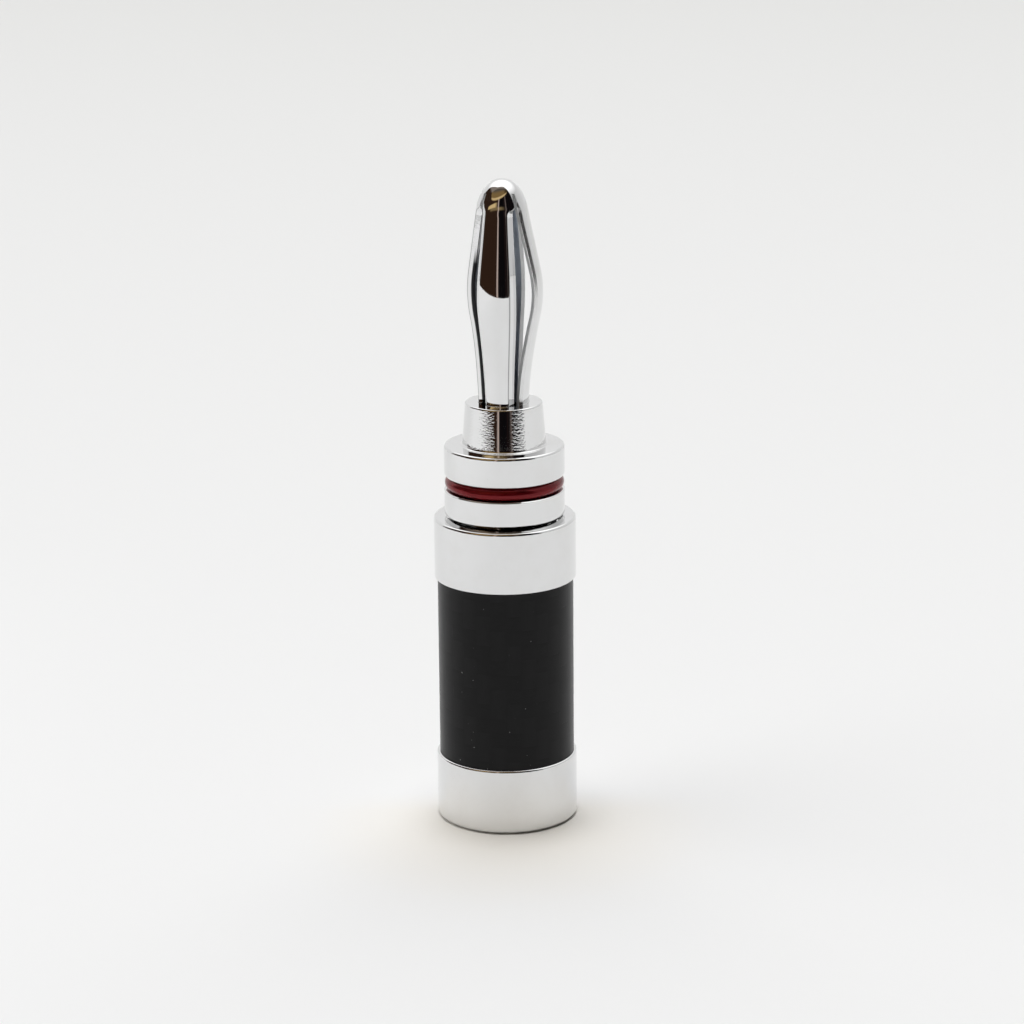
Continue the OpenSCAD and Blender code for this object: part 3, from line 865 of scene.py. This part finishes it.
def leaf_share(sizes, foot_height, shank):
    """Mesh of one leaf with its share of the shank below it and of the dome above it."""
    shape = LeafShape(sizes)
    half = math.pi / sizes.leaves
    points, faces, inside, sawn = [], [], [], []

    def ring(row, height):
        """Adds a row of points at one height and gives their numbers."""
        first = len(points)
        points.extend((r * math.cos(a), r * math.sin(a), foot_height + height) for r, a in row)
        return list(range(first, len(points)))

    def skin(lower, upper):
        """Adds the faces between two rows of points."""
        for i in range(len(lower) - 1):
            faces.append((lower[i], lower[i + 1], upper[i + 1], upper[i]))

    # The leaf itself
    levels = shape.levels()
    rows = []
    for i, (height, *cut) in enumerate(levels):
        outer, inner = shape.section(*cut, i == len(levels) - 1)
        rows.append((ring(outer, height), ring(inner, height), outer, inner))
    for (outer, inner, *_), (outer_up, inner_up, *_) in zip(rows, rows[1:]):
        skin(outer, outer_up)
        first = len(faces)
        skin(inner[::-1], inner_up[::-1])
        inside.extend(range(first, len(faces)))
        skin([outer[-1], inner[-1]], [outer_up[-1], inner_up[-1]])
        skin([inner[0], outer[0]], [inner_up[0], outer_up[0]])
        sawn.extend((len(faces) - 2, len(faces) - 1))

    def flanked(row, radius, height):
        """A ring widened to the whole share of the circle."""
        low, high = ring([(radius, -half), (radius, half)], height)
        return [low, *row, high]

    # Its share of the shank
    floor_outer, floor_inner, outer_at, inner_at = rows[0]
    bore = sizes.foot_radius - sizes.thickness
    outer = flanked(floor_outer, sizes.foot_radius, -sizes.slot_run)
    inner = flanked(floor_inner, bore, -sizes.slot_run)
    foot_outer = ring([(sizes.foot_radius, a) for a in [-half, *(a for _, a in outer_at), half]], -shank)
    foot_inner = ring([(bore, a) for a in [-half, *(a for _, a in inner_at), half]], -shank)
    skin(foot_outer, outer)
    skin(foot_inner[::-1], inner[::-1])
    skin(foot_inner, foot_outer)
    faces.append((outer[0], outer[1], inner[1], inner[0]))
    faces.append((outer[-2], outer[-1], inner[-1], inner[-2]))

    # Its share of the dome
    top_outer, top_inner, outer_at, _ = rows[-1]
    radius = levels[-1][1]
    below = flanked(top_outer, radius, shape.slot_top)
    axis = ring([(0, 0)], shape.slot_top)
    ceiling = [*axis, below[0], below[1], *top_inner, below[-2], below[-1]]
    faces.append(tuple(reversed(ceiling)))
    turns = [-half, *(a for _, a in outer_at), half]
    first = shape.tip_at(shape.slot_top)
    dome_steps = 20
    for i in range(1, dome_steps):
        radius, height = shape.tip(first + (1 - first) * i / dome_steps)
        above = ring([(radius, a) for a in turns], height)
        skin(below, above)
        below = above
    apex = ring([(0, 0)], top("spring_pin") - foot_height)[0]
    faces.extend((below[i], below[i + 1], apex) for i in range(len(below) - 1))

    # The mesh, with marks for its finishes, and masks for a painted shade line along each right bevel and
    # for the painted gap shade
    mesh = bpy.data.meshes.new("leaf_share")
    mesh.from_pydata(points, [], faces)
    for name, marked in (("inside", inside), ("sawn", sawn)):
        layer = mesh.attributes.new(name, "BOOLEAN", "FACE")
        for face in marked:
            layer.data[face].value = True
    # The first mask holds the painted shade line where a leaf's face meets its right bevel; the second masks
    # the painted gap shade.
    marks = {"seam": slice(-5, -3), "right_bevel": slice(-2, None), "left_bevel": slice(1, 4)}
    for name, marked in marks.items():
        layer = mesh.attributes.new(name, "FLOAT", "POINT")
        for outer, *_ in rows:
            for corner in outer[marked]:
                layer.data[corner].value = 1
    return mesh


def laid_down(node):
    """Turn and shift that lay what stands on the origin along Y, at the height of a clamp screw's node."""
    middle = (foot(node) + top(node)) / 2
    return Matrix.Translation((0, 0, middle)) @ Matrix.Rotation(math.radians(90), 4, "X")


def clamp_screw(name, node):
    """A headless screw with a hexagon socket, lying along Y, in the place of its CAD node."""
    sizes = bpy.context.scene.plug.thread
    low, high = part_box(node)
    radius, inner, outer = (high.x - low.x) / 2, -high.y, -low.y
    core = radius - sizes.screw_height
    steps, bevel = 48, sizes.screw_bevel
    flat = math.radians(60)

    def hexagon(i):
        """Distance of the socket's wall from the screw's axis."""
        return sizes.socket / 2 / math.cos((2 * math.pi * i / steps + flat / 2) % flat - flat / 2)

    turned = [(core - bevel, inner), (core, inner + bevel), (core, outer - bevel), (core - bevel, outer)]
    rows = [[corner] * steps for corner in turned]
    rows += [[(hexagon(i), height) for i in range(steps)] for height in (outer, outer - sizes.socket_depth)]
    points = [(r * math.cos(2 * math.pi * i / steps), r * math.sin(2 * math.pi * i / steps), z)
              for row in rows for i, (r, z) in enumerate(row)]
    faces = [tuple(range(steps - 1, -1, -1)), tuple(range(5 * steps, 6 * steps))]
    for row in range(len(rows) - 1):
        for i in range(steps):
            j = (i + 1) % steps
            faces.append((row * steps + i, row * steps + j, (row + 1) * steps + j, (row + 1) * steps + i))
    mesh = bpy.data.meshes.new(name)
    mesh.from_pydata(points, [], faces)
    screw = add_object(name, mesh)
    turns = (outer - inner - 2 * bevel) / sizes.screw_pitch
    ridge = thread_ridge(name + "_ridge", screw_steel_finish(), Radius=core - SUNK, Pitch=sizes.screw_pitch,
                         Start=inner + bevel, Phase=0.0, Points=int(turns * steps), Steps=steps,
                         Height=sizes.screw_height, Base=sizes.screw_base, Crest=sizes.screw_crest)
    joined(screw, ridge)
    screw.data.transform(laid_down(node))
    crease(screw.data)
    paint(screw, screw_steel_finish())
    return screw


def joined(piece, other):
    """Adds another piece's mesh to a piece."""
    first, second = piece.data, other.data
    offset = len(first.vertices)
    points = [v.co.copy() for mesh in (first, second) for v in mesh.vertices]
    faces = [tuple(p.vertices) for p in first.polygons]
    faces += [tuple(v + offset for v in p.vertices) for p in second.polygons]
    mesh = bpy.data.meshes.new(piece.name)
    mesh.from_pydata(points, [], faces)
    piece.data = mesh
    bpy.data.objects.remove(other)


def screw_steel_finish():
    """Finish of the clamp screws, made once."""
    return bpy.data.materials.get("screw_steel") or screw_steel()


def plating_finish(name, haze=0.035, ripple=0.0000012):
    """A polished plating with its own name, made once and left coarser on the collar."""
    nose = bpy.context.scene.plug.nose
    collar = (top("polarity_ring") + nose.disc_length + nose.ring_gap, top("nose_body"))
    return bpy.data.materials.get(name) or polished_plating(name, haze, ripple, collar)


def thread_ridge(name, finish, **values):
    """A thread's ridge as a piece."""
    tree = bpy.data.node_groups.get("thread_ridge") or ridge_tree()
    ridge = add_object(name, bpy.data.meshes.new(name))
    grow(ridge, tree, {**values, "Finish": finish})
    crease(ridge.data, math.radians(20))
    return ridge


class PLUG_OT_stage(Operator):
    """Builds the floor, the light, the dark room that the metal mirrors, and the camera"""

    bl_idname = "plug.stage"
    bl_label = "Stage"

    def execute(self, context):
        stage = context.scene.plug.stage
        context.scene.view_settings.view_transform = "Standard"
        self.world(context.scene)
        edge = stage.floor_reach
        floor = self.sheet("floor", [(-edge, -edge, 0), (edge, -edge, 0), (edge, edge, 0), (-edge, edge, 0)])
        paint(floor, self.floor_finish(stage))
        away, left, right, high = -stage.room_away, -stage.room_left, stage.room_right, stage.room_height
        card = self.sheet("dark_room", [
            (left, away, 0), (right, away, 0), (right, away, high), (left, away, high)])
        low, far, end = stage.side_foot, stage.side_reach, stage.side_height
        side = self.sheet("dark_side", [
            (left, away, low), (left, far, low), (left, far, end), (left, away, high)])
        finish = self.room_finish(stage)
        for dark in (card, side):
            paint(dark, finish)
            dark.visible_camera = dark.visible_diffuse = dark.visible_shadow = False
        self.camera(context.scene, stage)
        return {"FINISHED"}

    @staticmethod
    def sheet(name, corners):
        """A flat sheet with four corners."""
        mesh = bpy.data.meshes.new(name)
        mesh.from_pydata(corners, [], [(0, 1, 2, 3)])
        return add_object(name, mesh)

    @staticmethod
    def world(scene):
        """Soft light from above, behind and the left, and paler surroundings for the metal to mirror."""
        scene.world = bpy.data.worlds.new("studio")
        scene.world.use_nodes = True
        graph = Graph(scene.world.node_tree)
        stage = scene.plug.stage
        right, back, up = graph.parts(graph.node("ShaderNodeTexCoord", output="Generated"))
        toward = back * math.cos(stage.key_height) + up * math.sin(stage.key_height)
        mirror = (graph.node("ShaderNodeLightPath", output="Is Glossy Ray")
                  + graph.node("ShaderNodeLightPath", output="Is Camera Ray"))
        behind = back * math.cos(stage.back_height) + up * math.sin(stage.back_height)
        beside = up * math.sin(stage.left_height) - right * math.cos(stage.left_height)
        lit = (stage.sky + stage.key * graph.ramp(up, (0.975, 0), (0.99, 1))
               + stage.back_light * graph.ramp(behind, (0.75, 0), (0.90, 1))
               + stage.left_light * graph.ramp(beside, (0.78, 0), (0.93, 1)))
        seen = stage.mirrored + 0.18 * back - 0.05 * right + graph.ramp(toward, (0.60, 0), (0.85, 1)) * 0.8
        light = lit + mirror * (seen - lit)
        glow = graph.node("ShaderNodeBackground", None, {"Color": (1, 1, 1, 1), "Strength": light})
        graph.node("ShaderNodeOutputWorld", None, {"Surface": glow})

    @staticmethod
    def floor_finish(stage):
        """White paper, painted darker towards the back and the right as painted shade, painted lighter to
        the left of the plug as painted light, and with a painted warm shadow in front of the end ring.
        """
        material, graph = new_material("floor_paper")
        place = graph.place()
        x, y, _ = graph.parts(place)
        # Painted shade: the paper darkens towards the back and to the right.
        fade = graph.ramp(y / stage.floor_fade + x * 0.25, (0.0, 0), (1.0, 1))
        grain = graph.noise(place, 900, 3)
        tone = graph.mix(fade, stage.floor_near, stage.floor_far)
        # Painted pool of light to the left of the plug.
        lighter = graph.ramp(x * -1, (0.03, 0), (0.12, 1)) * graph.ramp(y, (0.02, 1), (0.08, 0))
        tone = graph.mix(lighter * 0.8, tone, stage.floor_lit)
        # Painted warm shadow just in front of the end ring.
        close = graph.ramp((x * x + (y + 0.004) * (y + 0.004)) ** 0.5, (0.003, 1), (0.017, 0))
        in_front = graph.ramp(y, (0.0, 1), (0.0039, 0))
        tone = graph.mix(close * in_front * 0.7, tone, stage.floor_shadow_tint)
        surface(graph, {
            "Base Color": graph.mix(grain * 0.02, tone, stage.floor_grain),
            "Roughness": 0.9,
            "Specular IOR Level": 0.0,
        })
        return material

    @staticmethod
    def room_finish(stage):
        """Dark room with folds, a pale post, a bowed lit edge with a browner part above it, and two lit
        patches below it."""
        material, graph = new_material("dark_room")
        place = graph.place()
        x, _, z = graph.parts(place)
        folds = graph.noise(graph.vector(x, 0, 0), 45, 2)
        blacker = graph.ramp(x / 0.12 + 0.95, (0.3, 0), (0.55, 1))
        dark = graph.mix(blacker, stage.room_brown, stage.room_black)
        dark = graph.mix(graph.ramp(folds, (0.5, 0), (0.75, 1)) * 0.4, dark, stage.room_folds)
        post, faint = graph.near(x, -0.055, 0.012, 0.35), graph.near(x, 0.064, 0.016, 0.2)
        lower = graph.mix(post * 0.8 + faint * 0.2, dark, stage.room_post)
        off = x + 0.09
        above = z - 0.222 - off * off * (1.5 + 1.4 * (off > 0))
        browner = graph.ramp(above, (0.0, 0), (0.03, 1)) * graph.ramp(x, (0.04, 1), (0.16, 0.25))
        upper = graph.mix(browner, lower, stage.room_upper)
        upper = graph.mix(graph.ramp(above, (0.12, 0), (0.34, 1)), upper, stage.room_haze)
        upper = graph.mix(graph.ramp(z, (0.8, 0), (1.0, 1)), upper, stage.room_top)
        edge = graph.near(above, 0, 0.03, 0.3) * graph.near(off, 0, 0.3, 0.6)
        band = graph.ramp(z, (0.09, 0), (0.1, 0.3), (0.116, 0.3), (0.124, 0))
        band *= graph.near(x, -0.12, 0.17, 0.6)
        patch = graph.ramp(z, (0.116, 0), (0.126, 1), (0.16, 1), (0.172, 0))
        patch *= graph.near(x, -0.25, 0.18, 0.7)
        shade = graph.mix((edge + patch + band) * 0.85, upper, stage.room_gold)
        glow = graph.node("ShaderNodeEmission", None, {"Color": shade, "Strength": 1.0})
        graph.node("ShaderNodeOutputMaterial", None, {"Surface": glow})
        return material

    @staticmethod
    def camera(scene, stage):
        """Camera in the photograph's place."""
        data = bpy.data.cameras.new("camera")
        data.sensor_width, data.lens = 36, stage.lens
        data.clip_start, data.clip_end = 0.01, 10
        made = bpy.data.objects.new("camera", data)
        scene.collection.objects.link(made)
        tilt = Matrix.Rotation(math.radians(90) - stage.camera_tilt, 4, "X")
        made.matrix_world = (Matrix.Translation(stage.camera_place) @ tilt
                             @ Matrix.Rotation(stage.camera_roll, 4, "Z"))
        scene.camera = made


class PLUG_OT_end_ring(Operator):
    """Turns the ring that the plug stands on"""

    bl_idname = "plug.end_ring"
    bl_label = "End ring"

    def execute(self, context):
        s = context.scene.plug.barrel
        e = s.sharpness
        radius, low, high = extent("end_ring")
        ring = lathe("end_ring_turned", [
            (s.cable_hole + s.cable_bevel, low, e),
            (radius, low, s.ring_foot),
            (radius, high, s.ring_round),
            (s.socket_radius, high, e),
            (s.socket_radius, low + s.ring_floor, e),
            (s.cable_hole, low + s.ring_floor, e),
            (s.cable_hole, low + s.cable_bevel, e),
        ])
        paint(ring, plating_finish("ring_plating", 0.05, 0.000002))
        settle(ring, "barrel", "polished_plating", "end_ring")
        return {"FINISHED"}


class PLUG_OT_sleeve(Operator):
    """Wraps the carbon sleeve"""

    bl_idname = "plug.sleeve"
    bl_label = "Carbon sleeve"

    def execute(self, context):
        s = context.scene.plug.barrel
        e = s.sharpness
        radius, low, high = extent("carbon_sleeve")
        sleeve = lathe("sleeve_woven", [
            (s.socket_radius, low, e), (radius, low, e), (radius, high, e), (s.socket_radius, high, e)])
        paint(sleeve, carbon_weave())
        settle(sleeve, "barrel", "carbon_weave", "carbon_sleeve")
        return {"FINISHED"}


class PLUG_OT_barrel(Operator):
    """Turns the barrel's head and tube and cuts the thread inside it"""

    bl_idname = "plug.barrel"
    bl_label = "Barrel core"

    def execute(self, context):
        s, t = context.scene.plug.barrel, context.scene.plug.thread
        e = s.sharpness
        radius, low, high = extent("barrel_core")
        head = top("carbon_sleeve")
        thread_end = high - s.thread_depth
        core = lathe("barrel_turned", [
            (s.tube_bore, low, e),
            (s.tube_radius, low, e),
            (s.tube_radius, head, e),
            (radius, head, e * 2),
            (radius, high, s.head_round),
            (s.thread_bore, high, e),
            (s.thread_bore, thread_end, e),
            (s.tube_bore, thread_end, e),
        ])
        finish = plating_finish("plating")
        paint(core, finish)
        settle(core, "barrel", "polished_plating", "barrel_core")
        points = int((s.thread_depth - t.base) / t.pitch * TURN_STEPS)
        ridge = thread_ridge("barrel_thread", finish, Radius=s.thread_bore + SUNK, Pitch=t.pitch,
                             Start=thread_end + t.base / 2, Phase=0.0, Points=points, Steps=TURN_STEPS,
                             Height=-t.height, Base=t.base, Crest=t.crest)
        settle(ridge, "barrel", "polished_plating")
        return {"FINISHED"}


class PLUG_OT_nose(Operator):
    """Turns the nose, cuts its thread and drills its wire tail"""

    bl_idname = "plug.nose"
    bl_label = "Nose"

    def execute(self, context):
        s, t, b = context.scene.plug.nose, context.scene.plug.thread, context.scene.plug.barrel
        e = b.sharpness
        radius, tail, face = extent("nose_body")
        skirt = top("barrel_core") + s.seat_gap
        groove, disc = foot("polarity_ring") - s.ring_gap, top("polarity_ring") + s.ring_gap
        shoulder = disc + s.disc_length
        thread = skirt - s.thread_length
        wire_end = tail + s.wire_hole_depth
        drill = s.wire_hole / math.tan(DRILL_POINT)
        nose = lathe("nose_turned", [
            (0, wire_end + drill, 0),
            (s.wire_hole, wire_end, e),
            (s.tail_radius, wire_end, e),
            (s.tail_radius, thread, e),
            (s.thread_root, thread, e),
            (s.thread_root, skirt, e),
            (radius - s.skirt_bevel, skirt, e),
            (radius, skirt + s.skirt_bevel, e),
            (radius, groove - s.groove_bevel, e),
            (radius - s.groove_bevel, groove, e),
            (s.groove_radius, groove, e),
            (s.groove_radius, disc, e),
            (radius, disc, s.disc_foot),
            (radius, shoulder, s.disc_round),
            (s.collar_foot, shoulder, s.collar_fillet),
            (s.collar_top, face, s.collar_round),
            (s.pin_hole, face, e),
            (s.pin_hole, face - s.pin_hole_depth, e),
            (0, face - s.pin_hole_depth, 0),
        ], closed=False)
        finish = plating_finish("plating")
        paint(nose, finish)
        settle(nose, "contact", "polished_plating", "nose_body")
        ridge = self.ridge(s, t, b, thread, finish)
        settle(ridge, "contact", "polished_plating")
        wire_tail = self.wire_tail(s, e, tail, wire_end)
        paint(wire_tail, finish)
        settle(wire_tail, "contact", "polished_plating")
        return {"FINISHED"}

    @staticmethod
    def ridge(s, t, b, thread, finish):
        """Ridge that lies midway between the turns of the barrel's ridge."""
        barrel_start = top("barrel_core") - b.thread_depth + t.base / 2
        start = thread + t.base / 2
        phase = 2 * math.pi * ((start - barrel_start) / t.pitch + 0.5)
        points = int((s.thread_length - t.base) / t.pitch * TURN_STEPS)
        return thread_ridge("nose_thread", finish, Radius=s.thread_root - SUNK, Pitch=t.pitch, Start=start,
                            Phase=phase, Points=points, Steps=TURN_STEPS, Height=t.height, Base=t.base,
                            Crest=t.crest)

    @staticmethod
    def wire_tail(s, e, tail, wire_end):
        """Tail with its wire hole and the two holes for the clamp screws."""
        piece = lathe("wire_tail", [
            (s.wire_hole, tail + s.tail_bevel, e),
            (s.wire_hole + s.tail_bevel, tail, e),
            (s.tail_radius - s.tail_bevel, tail, e),
            (s.tail_radius, tail + s.tail_bevel, e),
            (s.tail_radius, wire_end, e),
            (s.wire_hole, wire_end, e),
        ], segments=96)
        drills, run = [], 2 * s.tail_radius
        for node in ("clamp_screw_lower", "clamp_screw_upper"):
            drill = lathe(node + "_drill", [
                (0, 0, 0), (s.screw_hole, 0, e), (s.screw_hole, run, e), (0, run, 0)],
                closed=False, segments=64)
            drill.data.transform(laid_down(node))
            cut = piece.modifiers.new(node, "BOOLEAN")
            cut.operation, cut.solver, cut.object = "DIFFERENCE", "EXACT", drill
            drills.append(drill)
        baked(piece)
        for drill in drills:
            bpy.data.objects.remove(drill)
        crease(piece.data)
        return piece


class PLUG_OT_colour_ring(Operator):
    """Turns the half-round coloured ring"""

    bl_idname = "plug.colour_ring"
    bl_label = "Coloured ring"

    def execute(self, context):
        s = context.scene.plug.nose
        radius = reach("polarity_ring") + s.ring_swell
        low, high = foot("polarity_ring") - s.ring_swell / 2, top("polarity_ring") + s.ring_swell / 2
        half = (high - low) / 2 * 0.99  # Leaves a narrow flat between the two roundings
        ring = lathe("colour_ring_turned", [
            (s.ring_inner, low, s.ring_edge), (radius, low, half), (radius, high, half),
            (s.ring_inner, high, s.ring_edge)])
        paint(ring, red_lacquer())
        settle(ring, "colour_ring", "red_ring", "polarity_ring")
        return {"FINISHED"}


class PLUG_OT_pin(Operator):
    """Builds the sprung pin from its leaves"""

    bl_idname = "plug.pin"
    bl_label = "Spring pin"

    def execute(self, context):
        s = context.scene.plug.pin
        face = top("nose_body")
        mesh = leaf_share(s, face, face - foot("spring_pin"))
        crease(mesh)
        pin = add_object("pin_leaves", mesh)
        grow(pin, leaves_tree(), {
            "Leaves": s.leaves, "First": math.radians(-90) - s.turn, "Weld": WELD,
            "Sway": s.sway, "Twist": s.twist, "Spread": s.spread,
            "Foot": face, "Tip": top("spring_pin") - s.cap,
            "Finish": plating_finish("pin_plating", 0.03, 0.0000008), "Inside": dull_plating(),
            "Sawn": sawn_plating(),
        })
        settle(pin, "contact", "polished_plating", "spring_pin")
        return {"FINISHED"}


class PLUG_OT_screws(Operator):
    """Builds the two clamp screws"""

    bl_idname = "plug.screws"
    bl_label = "Clamp screws"

    def execute(self, context):
        for side in ("upper", "lower"):
            node = "clamp_screw_" + side
            settle(clamp_screw(node + "_cut", node), side + "_screw", "screw_steel", node)
        return {"FINISHED"}


PIECES = (PLUG_OT_stage, PLUG_OT_end_ring, PLUG_OT_sleeve, PLUG_OT_barrel, PLUG_OT_nose, PLUG_OT_colour_ring,
          PLUG_OT_pin, PLUG_OT_screws)


class PLUG_PT_panel(Panel):
    """Panel with the pieces and what can be changed about them"""

    bl_label = "Banana plug"
    bl_idname = "PLUG_PT_panel"
    bl_space_type = "VIEW_3D"
    bl_region_type = "UI"
    bl_category = "Plug"

    def draw(self, context):
        settings = context.scene.plug
        for piece in PIECES:
            self.layout.operator(piece.bl_idname)
        for group in ("barrel", "nose", "pin", "thread", "colours", "stage"):
            box = self.layout.box()
            box.label(text=group.capitalize())
            values = getattr(settings, group)
            for name in type(values).__annotations__:
                box.prop(values, name)


CLASSES = (BarrelSizes, NoseSizes, PinSizes, ThreadSizes, PlugColours, StageSettings, PlugSettings, *PIECES,
           PLUG_PT_panel)


def register():
    """Registers the settings, the operators and the panel."""
    for made in CLASSES:
        bpy.utils.register_class(made)
    bpy.types.Scene.plug = PointerProperty(type=PlugSettings)


def unregister():
    """Takes away what register adds."""
    del bpy.types.Scene.plug
    for made in reversed(CLASSES):
        bpy.utils.unregister_class(made)


def main():
    """Builds the plug on its stage."""
    register()
    bpy.ops.plug.stage()
    bpy.ops.plug.end_ring()
    bpy.ops.plug.sleeve()
    bpy.ops.plug.barrel()
    bpy.ops.plug.nose()
    bpy.ops.plug.colour_ring()
    bpy.ops.plug.pin()
    bpy.ops.plug.screws()


if __name__ == "__main__":
    main()
